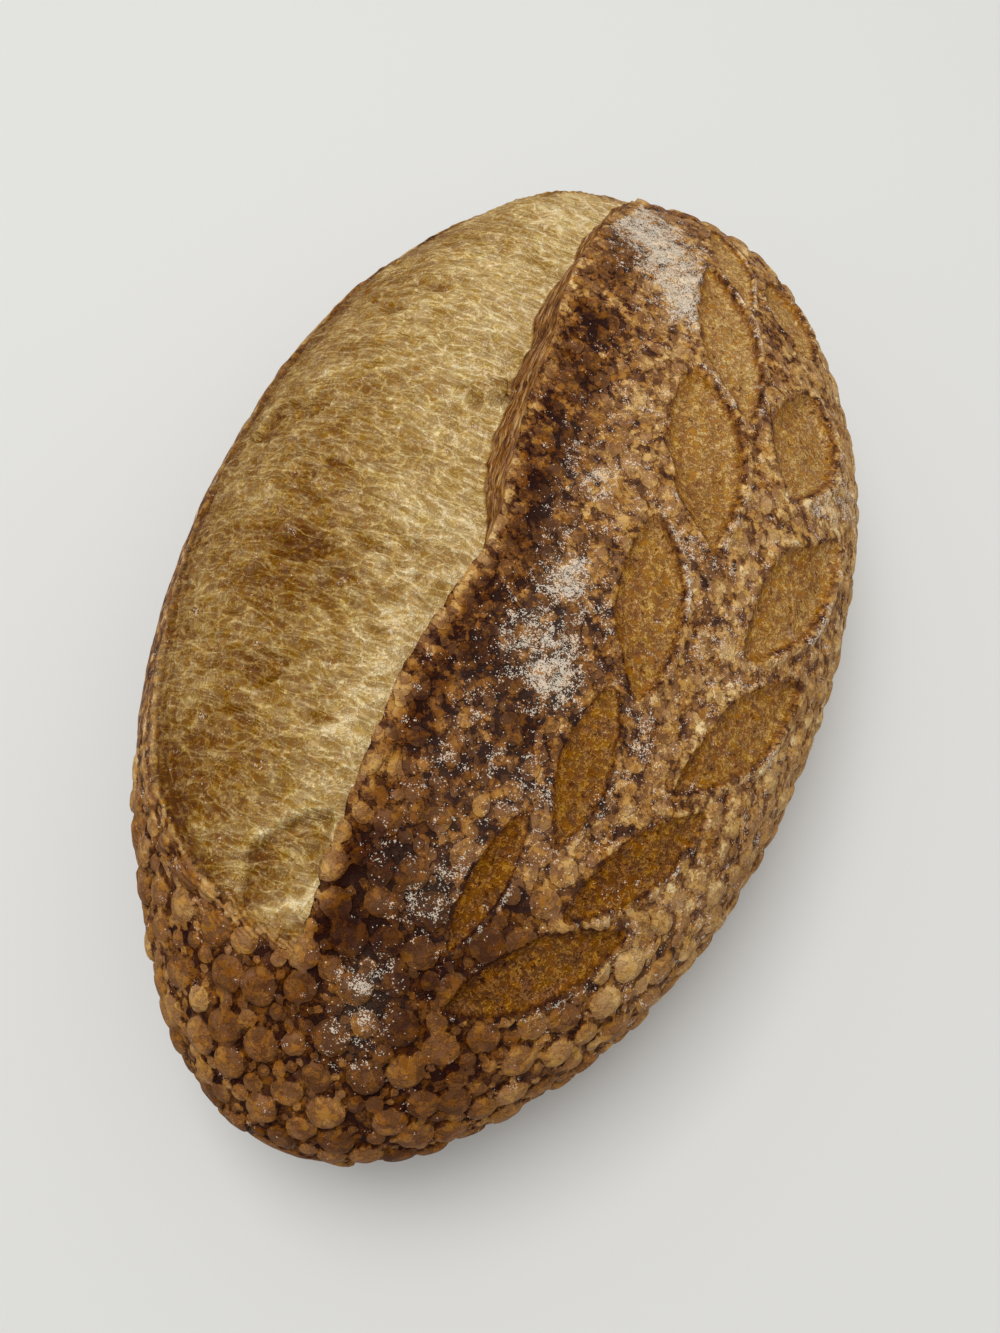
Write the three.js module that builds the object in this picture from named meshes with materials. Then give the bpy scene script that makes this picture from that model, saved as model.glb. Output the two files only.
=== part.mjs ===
// A sourdough loaf, baked free on a stone. One long slash opened into a pale bloom on its left side,
// with an ear of dark crust along it, and a wheat stalk of twelve leaf cuts is scored on the right.
// Millimetres, +Z up, +Y along the loaf to its far end. The origin is under the middle of the base.
import * as THREE from "three";
import { mergeVertices } from "three/addons/utils/BufferGeometryUtils.js";

// The dough's form
const halfLength = 145;
const halfWidth = 89.5;
const crownHeight = 88; // top of the dome beside the ear
const widestHeight = 40;
const noseHeight = 37; // where the two ends come to a point
const crownFullness = 2.25; // how long the crown stays level before it falls to the ends
const endFullness = { nearLeft: 1.69, nearRight: 1.83, farLeft: 2.16, farRight: 2.07 };
const shoulder = { across: 0.88, up: 0.96 }; // powers of the upper arc, 1 is an ellipse
const heel = { across: 0.55, up: 0.75 }; // powers of the lower arc, less is squarer
const heelLift = 6; // how late the underside lifts towards the ends
const settle = 2.5; // depth by which the underside is pressed flat

// The long slash
const ear = {
  height: 11, // lip above the foot of the slash
  start: -0.76, // share of the half length, near end
  full: -0.3,
  fade: 0.45,
  end: 0.97, // far end
  curl: 14, // reach of the raised crust behind the lip
};
// The lip runs nearly straight, bows right past the middle and left towards the far end
const lip = { x: -6.6, bow: 5.4, bowAt: -10, bowReach: 28, farBow: 3, farAt: 85, farReach: 35 };
const lipLimit = 0.8; // largest share of the half width that the lip may lie out from the middle
// The foot of the slash is tucked under the lip in the near half and stands out left of it in the far half
const foot = {
  tuck: 3,
  spread: 10.5,
  from: -34,
  to: 18,
  closing: 1.5,
  closeFrom: 50,
  closeTo: 90,
  reach: 12, // how far the foot's shift runs out into the bloom
};
const seam = { width: 1.5, share: 0.04 }; // the closed slash beyond its ends, and its most in half widths
const openFrom = 4; // lip height from which the slash counts as open
const bloomSwell = 3;
const bloomDrop = 0.6; // share of the bloom over which it sinks towards the foot

// The crust's torn left rim, as a share of the half width, and how it closes at both ends
const rim = {
  rise: 1.3,
  reach: 8,
  share: 0.83,
  farShare: 0.08, // added to the share in the far half
  widenFrom: -80,
  widenTo: 10,
  nearEnd: -108,
  opening: 36,
  roundness: 0.62,
  farFrom: 118,
  farTo: 140,
};

// Leaf cuts of the wheat stalk: centre, turn of the long axis from +X in degrees, length and width
// A leaf cut's profile: depth and raised lip in shares of its width, the rest in half widths
const leafCut = { depth: 0.13, lip: 0.045, wall: 0.45, lipAt: 0.12, lipReach: 0.25 };
const innerLeaves = [
  { x: 34, y: 77, turn: 117, length: 55, width: 16 },
  { x: 38, y: 38, turn: 112, length: 54, width: 19 },
  { x: 38, y: -7, turn: 103, length: 48, width: 16 },
  { x: 37, y: -47, turn: 91, length: 38, width: 12 },
  { x: 26, y: -78, turn: 81, length: 35, width: 8 },
];
const outerLeaves = [
  { x: 27, y: 109, turn: 119, length: 41, width: 10 },
  { x: 48, y: 101, turn: 129, length: 30, width: 16 },
  { x: 61, y: 57, turn: 95, length: 38, width: 22 },
  { x: 71, y: 15, turn: 72, length: 49, width: 19 },
  { x: 69, y: -24, turn: 62, length: 48, width: 15 },
  { x: 55, y: -62, turn: 56, length: 42, width: 12 },
  { x: 42, y: -91, turn: 44, length: 43, width: 14 },
];

// Hollows left in the bloom by gas that burst
const hollows = [
  { x: -64, y: 14, turn: 30, length: 30, width: 12, depth: 1.6 },
  { x: -16, y: -89, turn: 66, length: 27, width: 17, depth: 2.8 },
];
const hollowWall = 0.8;
const markReach = 14; // an oval mark touches nothing further than this above or below its middle

// Long low waves over the whole crust
const swell = {
  height: 0.8,
  across: 17,
  along: 23,
  lean: 0.6,
  slant: 0.4,
  acrossStart: 1.3,
  alongStart: 0.4,
};
// Blisters at the near end and low on the sides, smooth elsewhere
const blister = { cell: 13, radius: 6.5, height: 1.1, endFrom: -50, endTo: -100, sideFrom: 66, sideTo: 48 };
const plainFoot = { from: 3, to: 20 }; // heights between which relief grows in
const plainNose = 0.2; // share of the half length over which it fades at the ends

// Points round one section, from the left side over the top to the right side and back underneath
const bloomPoints = 21;
const facePoints = 2;
const crustPoints = 29;
const basePoints = 17;
const around = bloomPoints + facePoints + crustPoints + basePoints;
const stations = 86;
const endCrowding = 0.88; // share of the stations' spacing that closes up towards the ends
const fineSteps = 240; // steps used to measure a curve's length
const mergeDistance = 0.001;

function clamp(value, low, high) {
  return Math.min(Math.max(value, low), high);
}

function smooth(from, to, value) {
  const t = clamp((value - from) / (to - from), 0, 1);
  return t * t * (3 - 2 * t);
}

function mound(value, width) {
  return Math.exp(-((value / width) ** 2));
}

// A rounded end: 1 in the middle of the loaf and 0 at its ends, s is -1 to 1
function rounded(s, power) {
  return Math.max(1 - Math.abs(s) ** power, 0) ** (1 / power);
}

function planWidth(s, side) {
  return halfWidth * rounded(s, endFullness[(s < 0 ? "near" : "far") + side]);
}

function levels(s) {
  const full = rounded(s, crownFullness);
  const underside = noseHeight * (1 - Math.sqrt(Math.max(1 - Math.abs(s) ** heelLift, 0)));
  return {
    full,
    side: noseHeight + (widestHeight - noseHeight) * full,
    top: noseHeight + (crownHeight - noseHeight) * full,
    bottom: underside,
  };
}

// Height of the plain dome over a place in plan
function domeHeight(x, y) {
  const s = clamp(y / halfLength, -1, 1);
  const { side, top } = levels(s);
  const share = clamp(Math.abs(x) / planWidth(s, x < 0 ? "Left" : "Right"), 0, 1);
  return side + (top - side) * (1 - share ** (2 / shoulder.across)) ** (shoulder.up / 2);
}

function lipLine(y) {
  const bow = lip.bow * mound(y - lip.bowAt, lip.bowReach);
  return lip.x + bow - lip.farBow * mound(y - lip.farAt, lip.farReach);
}

function lipHeight(s) {
  return ear.height * Math.sqrt(smooth(ear.start, ear.full, s) * (1 - smooth(ear.fade, ear.end, s)));
}

// How far left of the lip the foot of the slash lies
function faceRun(y) {
  const spread = foot.spread * smooth(foot.from, foot.to, y);
  return spread - foot.tuck - foot.closing * smooth(foot.closeFrom, foot.closeTo, y);
}

// Where the crust's torn left rim runs, as a share of the half width
function rimShare(y) {
  const opening = clamp((y - rim.nearEnd) / rim.opening, 0, 1);
  const near = rim.share * (1 - (1 - opening) ** 2) ** rim.roundness;
  const far = rim.farShare * smooth(rim.widenFrom, rim.widenTo, y);
  return (near + far) * (1 - smooth(rim.farFrom, rim.farTo, y));
}

// Points evenly spaced along a curve that is given as a function of 0 to 1
function evenPoints(curve, count) {
  const fine = Array.from({ length: fineSteps + 1 }, (_, i) => curve(i / fineSteps));
  const reach = [0];
  for (let i = 1; i < fine.length; i++) {
    reach.push(reach[i - 1] + fine[i].distanceTo(fine[i - 1]));
  }
  const total = reach[reach.length - 1];
  let k = 0;
  return Array.from({ length: count }, (_, i) => {
    const goal = (total * i) / (count - 1);
    while (k < fine.length - 2 && reach[k + 1] < goal) {
      k++;
    }
    return fine[k].clone().lerp(fine[k + 1], clamp((goal - reach[k]) / (reach[k + 1] - reach[k]), 0, 1));
  });
}

// One ring of the loaf at s, with what each point belongs to
function section(s) {
  const y = halfLength * s;
  const { full, side, top, bottom } = levels(s);
  const left = planWidth(s, "Left");
  const right = planWidth(s, "Right");
  const lipX = clamp(lipLine(y), -lipLimit * left, lipLimit * right);
  const gap = lipHeight(s);
  const open = Math.min(1, gap / openFrom);
  const run = faceRun(y) * open + Math.min(seam.width, seam.share * left) * (1 - open);

  const upper = (angle) => {
    const c = Math.cos(angle);
    const width = c < 0 ? left : right;
    const x = width * Math.sign(c) * Math.abs(c) ** shoulder.across;
    return new THREE.Vector2(x, side + (top - side) * Math.sin(angle) ** shoulder.up);
  };
  const lipSide = lipX < 0 ? left : right;
  const lipAngle =
    Math.PI / 2 - Math.sign(lipX) * Math.asin((Math.abs(lipX) / lipSide) ** (1 / shoulder.across));

  const bloom = (t) => {
    const point = upper(Math.PI + (lipAngle - Math.PI) * t);
    const away = lipX - point.x;
    const share = clamp(away / (left + lipX), 0, 1);
    const drop = (gap / 2) * (1 - smooth(0, bloomDrop, share));
    const bulge = bloomSwell * full * Math.sin(Math.PI * share) * smooth(0, openFrom, gap);
    return new THREE.Vector2(point.x - run * Math.exp(-away / foot.reach), point.y - drop + bulge);
  };
  const crust = (t) => {
    const point = upper(lipAngle * (1 - t));
    point.y += (gap / 2) * Math.exp(-(point.x - lipX) / ear.curl);
    return point;
  };
  const base = (angle) => {
    const c = Math.cos(angle);
    const x = (c < 0 ? left : right) * Math.sign(c) * Math.abs(c) ** heel.across;
    return new THREE.Vector2(x, side - (side - bottom) * Math.sin(angle) ** heel.up);
  };

  const ring = evenPoints(bloom, bloomPoints).map((point) => ({ point, zone: "bloom" }));
  const faceStart = ring[ring.length - 1].point;
  const shell = evenPoints(crust, crustPoints).map((point) => ({ point, zone: "crust" }));
  for (let i = 1; i <= facePoints; i++) {
    ring.push({ point: faceStart.clone().lerp(shell[0].point, i / (facePoints + 1)), zone: "face" });
  }
  ring.push(...shell);
  for (let i = 1; i <= basePoints; i++) {
    ring.push({ point: base((Math.PI * i) / (basePoints + 1)), zone: "base" });
  }
  return ring.map(({ point, zone }) => ({ at: new THREE.Vector3(point.x, y, point.y), zone }));
}

// An oval mark lying on the dome, with its own length, width and upright directions
function oval({ x, y, turn, length, width, depth = leafCut.depth * width }) {
  const middle = new THREE.Vector3(x, y, domeHeight(x, y));
  const slope = (dx, dy) =>
    new THREE.Vector3(dx, dy, (domeHeight(x + dx, y + dy) - domeHeight(x - dx, y - dy)) / 2).normalize();
  const upright = slope(1, 0).cross(slope(0, 1)).normalize();
  const radians = THREE.MathUtils.degToRad(turn);
  const long = slope(Math.cos(radians), Math.sin(radians)).divideScalar(length / 2);
  const wide = upright.clone().cross(long).setLength(2 / width);
  return { middle, upright, long, wide, depth, lip: leafCut.lip * width };
}

const leafOvals = [...innerLeaves, ...outerLeaves].map(oval);
const hollowOvals = hollows.map(oval);

const farOutside = -9;
// Distance from an oval's edge in half widths: 1 in its middle, 0 on its edge, negative outside
function insideOval(mark, at) {
  const offset = at.clone().sub(mark.middle);
  if (Math.abs(offset.dot(mark.upright)) > markReach) {
    return farOutside;
  }
  const along = offset.dot(mark.long);
  const across = Math.abs(offset.dot(mark.wide));
  return Math.abs(along) >= 1 ? -Math.abs(along) : 1 - along ** 2 - across;
}

function leafRelief(at) {
  let relief = 0;
  for (const mark of leafOvals) {
    const inside = insideOval(mark, at);
    relief -= mark.depth * smooth(0, leafCut.wall, inside);
    relief += mark.lip * mound(inside + leafCut.lipAt, leafCut.lipReach);
  }
  return relief;
}

function hollowRelief(at) {
  const depths = hollowOvals.map((mark) => mark.depth * smooth(0, hollowWall, insideOval(mark, at)));
  return -depths.reduce((sum, depth) => sum + depth, 0);
}

const scatterSteps = { x: 127.1, y: 311.7, z: 74.7, pick: 19.3, spread: 43758.5453 };
// A fixed scatter: the same cell always gives the same number from 0 to 1, by the usual sine hash
function scatter({ x, y, z }, pick) {
  const steps = scatterSteps;
  const value = Math.sin(x * steps.x + y * steps.y + z * steps.z + pick * steps.pick) * steps.spread;
  return value - Math.floor(value);
}

// Blisters sit one to a cell of a grid through the crust
function blisterRelief(at) {
  const cell = at.clone().divideScalar(blister.cell).floor();
  let relief = 0;
  for (let i = -1; i <= 1; i++) {
    for (let j = -1; j <= 1; j++) {
      for (let k = -1; k <= 1; k++) {
        const corner = new THREE.Vector3(i, j, k).add(cell);
        const jitter = new THREE.Vector3(scatter(corner, 1), scatter(corner, 2), scatter(corner, 3));
        const middle = corner.clone().add(jitter).multiplyScalar(blister.cell);
        const radius = blister.radius * (0.5 + 0.5 * scatter(corner, 4));
        const away = middle.distanceTo(at) / radius;
        relief = Math.max(relief, blister.height * Math.max(1 - away ** 2, 0));
      }
    }
  }
  return relief;
}

function swellRelief({ x, y, z }) {
  const across = Math.sin((x + swell.lean * z) / swell.across + swell.acrossStart);
  return swell.height * across * Math.sin((y - swell.slant * x) / swell.along + swell.alongStart);
}

function relief(at, zone) {
  const s = clamp(at.y / halfLength, -1, 1);
  const inRim = -at.x / planWidth(s, "Left") < rimShare(at.y) && at.x < 0 && at.z > widestHeight;
  const lift = smooth(plainFoot.from, plainFoot.to, at.z) * smooth(0, plainNose, 1 - Math.abs(s));
  const open = smooth(0, openFrom, lipHeight(s));
  if (zone === "bloom" && inRim) {
    return lift * (hollowRelief(at) + swellRelief(at));
  }
  const crusty = zone === "face" ? 1 - open : 1;
  const atEnd = smooth(blister.endFrom, blister.endTo, at.y);
  const blistered = crusty * Math.max(atEnd, smooth(blister.sideFrom, blister.sideTo, at.z));
  const cuts = zone === "crust" ? leafRelief(at) : 0;
  const past = -at.x - rimShare(at.y) * planWidth(s, "Left");
  const torn = zone === "bloom" ? open * rim.rise * Math.exp(-Math.max(past, 0) / rim.reach) : 0;
  return lift * (swellRelief(at) + cuts + torn + blistered * blisterRelief(at));
}

function loafGeometry() {
  const shape = new THREE.SphereGeometry(1, around, stations);
  const rings = Array.from({ length: stations + 1 }, (_, row) => {
    const even = 1 - (2 * row) / stations;
    const crowded = Math.cos((Math.PI * row) / stations);
    return section(even + (crowded - even) * endCrowding);
  });
  const last = stations;
  for (const row of [0, last]) {
    rings[row].forEach((spot) => spot.at.set(0, row ? -halfLength : halfLength, noseHeight));
  }

  const raised = rings.map((ring, row) =>
    ring.map(({ at, zone }, column) => {
      if (row === 0 || row === last) {
        return at.clone();
      }
      const along = rings[row - 1][column].at.clone().sub(rings[row + 1][column].at);
      const before = ring[(column + around - 1) % around].at;
      const round = ring[(column + 1) % around].at.clone().sub(before);
      const outward = round.cross(along).multiplyScalar(-1).normalize();
      return at.clone().addScaledVector(outward, zone === "base" ? 0 : relief(at, zone));
    }),
  );

  const box = new THREE.Box3().setFromPoints(raised.flat());
  const middle = box.getCenter(new THREE.Vector3());
  const position = shape.getAttribute("position");
  raised.forEach((ring, row) => {
    for (let column = 0; column <= around; column++) {
      const at = ring[column % around];
      const height = Math.max(at.z - settle, 0);
      position.setXYZ(row * (around + 1) + column, at.x - middle.x, at.y - middle.y, height);
    }
  });
  shape.deleteAttribute("normal");
  shape.deleteAttribute("uv");
  const closed = mergeVertices(shape, mergeDistance);
  closed.computeVertexNormals();
  return closed;
}

const bakedCrust = new THREE.MeshStandardMaterial({ color: 0x8a5526, roughness: 0.75, metalness: 0 });
const loaf = new THREE.Mesh(loafGeometry(), bakedCrust);
loaf.name = "loaf";

const bread = new THREE.Group();
bread.add(loaf);

export default bread;
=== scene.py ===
import math
import bpy
import numpy as np
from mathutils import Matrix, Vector, kdtree


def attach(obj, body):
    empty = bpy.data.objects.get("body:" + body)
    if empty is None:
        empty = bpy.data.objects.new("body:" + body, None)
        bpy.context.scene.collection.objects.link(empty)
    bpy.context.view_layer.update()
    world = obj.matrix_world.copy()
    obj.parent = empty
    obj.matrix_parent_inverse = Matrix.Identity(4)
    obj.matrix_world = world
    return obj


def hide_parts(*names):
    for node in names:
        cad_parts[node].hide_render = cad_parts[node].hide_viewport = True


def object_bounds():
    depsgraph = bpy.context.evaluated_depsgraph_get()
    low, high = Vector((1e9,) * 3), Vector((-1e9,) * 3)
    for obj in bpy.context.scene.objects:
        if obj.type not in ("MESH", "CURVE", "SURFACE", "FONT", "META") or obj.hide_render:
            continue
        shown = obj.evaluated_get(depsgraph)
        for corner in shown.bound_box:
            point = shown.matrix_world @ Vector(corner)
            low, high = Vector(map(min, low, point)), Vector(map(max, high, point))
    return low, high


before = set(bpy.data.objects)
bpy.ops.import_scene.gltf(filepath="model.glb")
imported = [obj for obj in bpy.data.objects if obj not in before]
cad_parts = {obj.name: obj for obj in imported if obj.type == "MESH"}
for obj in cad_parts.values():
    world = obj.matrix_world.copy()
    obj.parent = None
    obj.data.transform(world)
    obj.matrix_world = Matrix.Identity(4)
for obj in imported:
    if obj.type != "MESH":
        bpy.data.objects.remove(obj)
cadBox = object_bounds()

# A hearth-baked sourdough loaf. Sizes are in mm and become metres when the mesh is written.
# The form follows the same named sizes as the solid it stands for.
mm = 0.001

dough = {
    "halfLength": 145.0,
    "halfWidth": 89.5,
    "crownHeight": 88.0,
    "widestHeight": 40.0,
    "noseHeight": 37.0,
    "crownFullness": 2.25,
    "endFullness": {"nearL": 1.69, "nearR": 1.83, "farL": 2.16, "farR": 2.07},
    "shoulder": (0.88, 0.96),
    "heel": (0.55, 0.75),
    "heelLift": 6,
    "settle": 2.5,
    "unevenness": 0.8,
}
slash = {
    "height": 11.0,
    "start": -0.76,
    "full": -0.3,
    "fade": 0.45,
    "end": 0.97,
    "curl": 14.0,
    "seam": 1.5,
    "swell": 3.0,
    "open": 4,
}
lip = {"x": -6.6, "bow": 5.4, "bowAt": -10, "bowReach": 28, "farBow": 3, "farAt": 85, "farReach": 35}
foot = {"tuck": 3, "spread": 10.5, "from": -34, "to": 18, "closing": 1.5, "closeFrom": 50, "closeTo": 90,
        "reach": 12.0}
rim = {"rise": 1.3, "reach": 8.0, "share": 0.83, "farShare": 0.08, "widenFrom": -80, "widenTo": 10,
       "nearEnd": -108.0, "opening": 36, "roundness": 0.62, "farFrom": 118.0, "farTo": 140.0,
       "pleatWidth": 2.6, "pleatHeight": 0.2}
mesh = {"stations": 300, "bloom": 97, "face": 7, "crust": 112, "base": 116, "underside": 0.22,
        "endCrowding": 0.8, "baseRelief": 0.8}
# The parts of each ring, in the order in which they go round the loaf
bloomZone, faceZone, crustZone, baseZone = range(4)

# Leaf cuts of the wheat stalk: x, y, turn of the long axis in degrees, length, width
leaves = {
    "depth": 0.095,
    "lip": 0.075,
    "inner": [(34, 77, 117, 55, 16), (38, 38, 112, 54, 19), (38, -7, 103, 48, 16),
              (37, -47, 91, 38, 12), (26, -78, 81, 35, 8)],
    "outer": [(27, 109, 119, 41, 10), (48, 101, 129, 30, 16), (61, 57, 95, 38, 22), (71, 15, 72, 49, 19),
              (69, -24, 62, 48, 15), (55, -62, 56, 42, 12), (42, -91, 44, 43, 14)],
}
# Hollows left in the bloom by gas that burst: x, y, turn, length, width, depth
hollows = [(-64, 14, 30, 30, 12, 1.6), (-16, -89, 66, 27, 15, 2.6), (-42, -22, 16, 17, 8, 1.4),
           (-32, -27, 28, 11, 6, 1.0), (-38, -52, 35, 13, 9, 1.2), (-12, -12, 12, 18, 7, 0.9)]
# A brown shred of crust torn into the bloom from the ear
shred = {"x": -18, "y": 36.5, "turn": 39, "length": 21, "width": 7, "height": 1.8}

# Blisters: thin crust over gas bubbles that rose against the hot skin
blisterRules = {
    "draws": 30000,
    "seed": 7,
    "radii": (4.3, 0.9),  # mm, large and small
    "steep": 0.38,  # height as a share of the radius where the crust is roughest
    "flat": 0.16,
    "spacing": 0.93,  # gap between two middles as a share of the two radii together
    "smallness": 3.4,  # the higher, the fewer large blisters
    "moat": 0.22,  # depth of the dip round a blister as a share of its height
}

# Where flour stayed on the crust: x, y, radius and strength
flourPatches = [(5, 103, 12, 0.75), (16, 91, 11, 0.75), (22, 80, 8, 0.65), (-6, 115, 12, 0.75),
                (19, -9, 8, 0.75), (18, -27, 9, 0.65), (26, -35, 7, 0.6), (9, -106, 8, 0.4),
                (11, -116, 7, 0.3), (22, -74, 9, 0.35), (16, -86, 7, 0.4), (68, 42, 7, 0.45),
                (77, 52, 7, 0.5), (58, -6, 8, 0.45), (45, 8, 7, 0.4), (18, 43, 8, 0.35),
                (17, 17, 9, 0.45), (8, -60, 8, 0.3), (50, 30, 6, 0.35), (50, -40, 8, 0.3)]


def smooth(low, high, value):
    t = np.clip((value - low) / (high - low), 0, 1)
    return t * t * (3 - 2 * t)


def mound(value, width):
    return np.exp(-(value / width) ** 2)


def rounded(s, power):
    return np.maximum(1 - np.abs(s) ** power, 0) ** (1 / power)


def planWidth(s, side):
    near, far = dough["endFullness"]["near" + side], dough["endFullness"]["far" + side]
    return dough["halfWidth"] * rounded(s, np.where(s < 0, near, far))


def levels(s):
    nose = dough["noseHeight"]
    full = rounded(s, dough["crownFullness"])
    side = nose + (dough["widestHeight"] - nose) * full
    top = nose + (dough["crownHeight"] - nose) * full
    bottom = nose * (1 - np.sqrt(np.maximum(1 - np.abs(s) ** dough["heelLift"], 0)))
    return full, side, top, bottom


def domeHeight(x, y):
    s = np.clip(y / dough["halfLength"], -1, 1)
    _, side, top, _ = levels(s)
    share = np.clip(abs(x) / planWidth(s, "L" if x < 0 else "R"), 0, 1)
    across, up = dough["shoulder"]
    return float(side + (top - side) * (1 - share ** (2 / across)) ** (up / 2))


def lipLine(y):
    bow = lip["bow"] * mound(y - lip["bowAt"], lip["bowReach"])
    return lip["x"] + bow - lip["farBow"] * mound(y - lip["farAt"], lip["farReach"])


def lipHeight(s):
    opening = smooth(slash["start"], slash["full"], s) * (1 - smooth(slash["fade"], slash["end"], s))
    return slash["height"] * np.sqrt(opening)


def faceRun(y):
    spread = foot["spread"] * smooth(foot["from"], foot["to"], y)
    return spread - foot["tuck"] - foot["closing"] * smooth(foot["closeFrom"], foot["closeTo"], y)


def rimShare(y):
    opening = np.clip((y - rim["nearEnd"]) / rim["opening"], 0, 1)
    near = rim["share"] * (1 - (1 - opening) ** 2) ** rim["roundness"]
    far = rim["farShare"] * smooth(rim["widenFrom"], rim["widenTo"], y)
    return (near + far) * (1 - smooth(rim["farFrom"], rim["farTo"], y))


# The same cell always gives the same number from 0 to 1
def scatter(cell, pick):
    value = np.sin(cell @ np.array([127.1, 311.7, 74.7]) + pick * 19.3) * 43758.5453
    return value - np.floor(value)


# Smooth unevenness from -1 to 1, with lumps of the given size
def unevenness(points, size, pick):
    scaled = points / size
    corner = np.floor(scaled)
    part = scaled - corner
    part = part * part * (3 - 2 * part)
    total = np.zeros(len(points))
    for step in np.ndindex(2, 2, 2):
        weight = np.prod(np.where(np.array(step) == 1, part, 1 - part), axis=1)
        total += weight * scatter(corner + np.array(step), pick)
    return 2 * total - 1


# Burst bubbles in a flow of dough, one to a cell: how deep inside one each point lies, and its wall
def burstBubbles(points, cell, pick, kept):
    corner = np.floor(points / cell)
    depth, wall = np.zeros(len(points)), np.zeros(len(points))
    for step in np.ndindex(3, 3, 3):
        home = corner + np.array(step) - 1
        middle = (home + np.stack([scatter(home, pick + i) for i in range(3)], axis=1)) * cell
        size = 0.35 + 0.65 * scatter(home, pick + 4)
        there = scatter(home, pick + 5) < kept
        away = np.linalg.norm(points - middle, axis=1) / (size * cell * 0.62)
        depth = np.maximum(depth, np.where(there, (1 - smooth(0.35, 1.0, away)) * size, 0))
        wall = np.maximum(wall, np.where(there, mound(away - 1.05, 0.22) * size, 0))
    return depth, wall


# Packs round blisters side by side, large ones first, and gives each point its height, how far
# inside a blister it lies (negative outside) and that blister's own browning
def packBlisters(points, area, rough, allowed, wander):
    rules = blisterRules
    draw = np.random.default_rng(rules["seed"])
    chance = area * allowed * (0.25 + 0.75 * rough)
    picks = draw.choice(len(points), size=rules["draws"], p=chance / chance.sum())
    large, small = rules["radii"]
    radii = small + (large - small) * draw.random(len(picks)) ** rules["smallness"]
    radii *= 0.6 + 0.4 * rough[picks]
    order = np.argsort(-radii)
    warped = points + (0.45 + 0.8 * (1 - rough[:, None])) * wander
    centres, sizes, count = np.zeros((len(picks), 3)), np.zeros(len(picks)), 0
    for choice in order:
        centre, radius = warped[picks[choice]], radii[choice]
        gaps = np.linalg.norm(centres[:count] - centre,
                              axis=1) - rules["spacing"] * (sizes[:count] + radius)
        if count == 0 or gaps.min() > 0:
            centres[count], sizes[count] = centre, radius
            count += 1
    tones = draw.random(count)
    tree = kdtree.KDTree(len(warped))
    for i, place in enumerate(warped):
        tree.insert(place, i)
    tree.balance()
    height, inside, tone = np.zeros(len(points)), np.full(len(points), -1.0), np.full(len(points), 0.5)
    for centre, radius, own in zip(centres[:count], sizes[:count], tones):
        found = tree.find_range(centre, radius * 1.5)
        near = np.array([index for _, index, _ in found], dtype=int)
        if not len(near):
            continue
        share = 1 - np.array([distance for _, _, distance in found]) / radius
        best = share > inside[near]
        near, share = near[best], share[best]
        steepness = rules["flat"] + (rules["steep"] - rules["flat"]) * rough[near]
        dome = np.sqrt(np.maximum(1 - (1 - np.maximum(share, 0)) ** 3, 0))
        height[near] = radius * steepness * np.where(share > 0, dome, -rules["moat"] * mound(share, 0.25))
        inside[near], tone[near] = share, own
    print("blisters:", count)
    return height, inside, tone


# Points spread evenly along a curve, thinner where it runs below the given height
def evenPoints(curve, count, lowest=-99):
    fine = curve(np.linspace(0, 1, 401))
    steps = np.linalg.norm(np.diff(fine, axis=0), axis=1) * np.where(fine[1:, 1] < lowest,
                                                                     mesh["underside"], 1)
    reach = np.concatenate([[0], np.cumsum(steps)])
    goal = np.linspace(0, reach[-1], count)
    points = np.stack([np.interp(goal, reach, fine[:, i]) for i in range(2)], axis=1)
    return points, goal


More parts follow.
